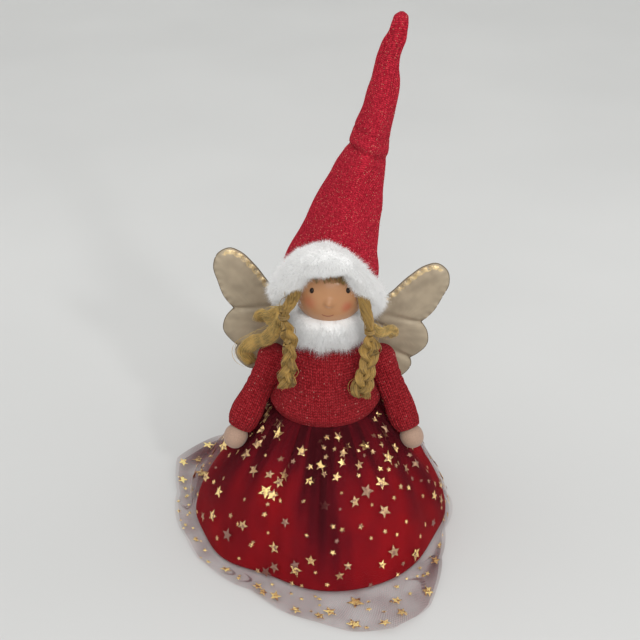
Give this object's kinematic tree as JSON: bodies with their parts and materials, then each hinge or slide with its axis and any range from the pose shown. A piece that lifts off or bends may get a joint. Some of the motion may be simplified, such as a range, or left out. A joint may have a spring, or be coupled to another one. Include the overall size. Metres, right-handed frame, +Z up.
{
  "type": "fairy tree topper",
  "caption": "Soft fairy doll for the top of a tree or a shelf: tall bent hat, fur trim, wings, and a skirt of velvet and starred tulle over a stiff cone.",
  "frame": {"origin": "centre of the cone's open foot, on the floor it stands on", "axes": "+Z up along the cone, towards the hat; the doll looks along -Y; +X is its own left"},
  "size_m": [0.2461, 0.2849, 0.4203],
  "materials": {
    "card": "matt brown card",
    "cap_wood": "raw wood board",
    "stick_wood": "raw round stick",
    "filling": "white polyester filling",
    "velvet": "short-pile velvet",
    "tulle": "sheer net with gold foil stars",
    "elastic": "woven elastic",
    "knit": "ribbed knit with glitter thread",
    "hat_knit": "fine knit with glitter thread",
    "fur": "long white pile",
    "painted_skin": "smooth satin paint",
    "hand_skin": "smooth stretch cloth",
    "bead": "gloss",
    "hair": "combed fibre",
    "wing_front": "metallic champagne leatherette, crushed",
    "wing_back": "metallic champagne leatherette"
  },
  "bodies": {
    "doll": {"tree_cone": "card", "cone_cap": "cap_wood", "neck_dowel": "stick_wood", "torso_stuffing": "filling", "velvet_skirt": "velvet", "tulle_underlayer": "tulle", "tulle_overlayer": "tulle", "waist_elastic": "elastic", "sweater_body": "knit", "fur_collar": "fur", "head_ball": "painted_skin", "hair_cap": "hair", "hat_crown": "hat_knit", "crown_stuffing": "filling", "fur_brim": "fur", "wing_patch": "wing_back", "swept_strand_right_upper": "hair", "swept_strand_right_lower": "hair", "swept_strand_left": "hair", "eye_right": "bead", "eye_left": "bead", "side_lock_right": "hair", "side_lock_left": "hair", "hair_tie_right": "hair", "hair_tie_left": "hair"},
    "hat_tip": {"hat_tip": "hat_knit", "tip_stuffing": "filling"},
    "arm_right": {"sleeve_right": "knit", "arm_core_right": "filling", "hand_right": "hand_skin"},
    "wing_right": {"wing_right_front_skin": "wing_front", "wing_right_padding": "filling", "wing_right_back_skin": "wing_back"},
    "braid_right": {"braid_right": "hair"},
    "arm_left": {"sleeve_left": "knit", "arm_core_left": "filling", "hand_left": "hand_skin"},
    "wing_left": {"wing_left_front_skin": "wing_front", "wing_left_padding": "filling", "wing_left_back_skin": "wing_back"},
    "braid_left": {"braid_left": "hair"}
  },
  "joints": [
    {"name": "arm_right_swing", "type": "hinge", "parent": "doll", "child": "arm_right", "pos_m": [-0.03742, 0.002, 0.145], "axis": [-1, 0, 0], "range_deg": [0, 60]},
    {"name": "arm_left_swing", "type": "hinge", "parent": "doll", "child": "arm_left", "pos_m": [0.04757, 0.002, 0.145], "axis": [-1, 0, 0], "range_deg": [0, 60]},
    {"name": "wing_right_flex", "type": "hinge", "parent": "doll", "child": "wing_right", "pos_m": [-0.00283, 0.0455, 0.14767], "axis": [-0.0837, 0, -0.9965], "range_deg": [-10, 35], "stiffness_Nm_per_rad": 0.02},
    {"name": "wing_left_flex", "type": "hinge", "parent": "doll", "child": "wing_left", "pos_m": [0.01312, 0.0455, 0.14633], "axis": [0.0837, 0, 0.9965], "range_deg": [-10, 35], "stiffness_Nm_per_rad": 0.02},
    {"name": "hat_tip_bend", "type": "hinge", "parent": "doll", "child": "hat_tip", "pos_m": [0.03238, 0.005, 0.3179], "axis": [0, 1, 0], "range_deg": [-30, 30]},
    {"name": "braid_right_swing", "type": "hinge", "parent": "doll", "child": "braid_right", "pos_m": [-0.02662, -0.031, 0.196], "axis": [-1, 0, 0], "range_deg": [0, 45]},
    {"name": "braid_left_swing", "type": "hinge", "parent": "doll", "child": "braid_left", "pos_m": [0.03738, -0.031, 0.1832], "axis": [-1, 0, 0], "range_deg": [0, 45]}
  ]
}
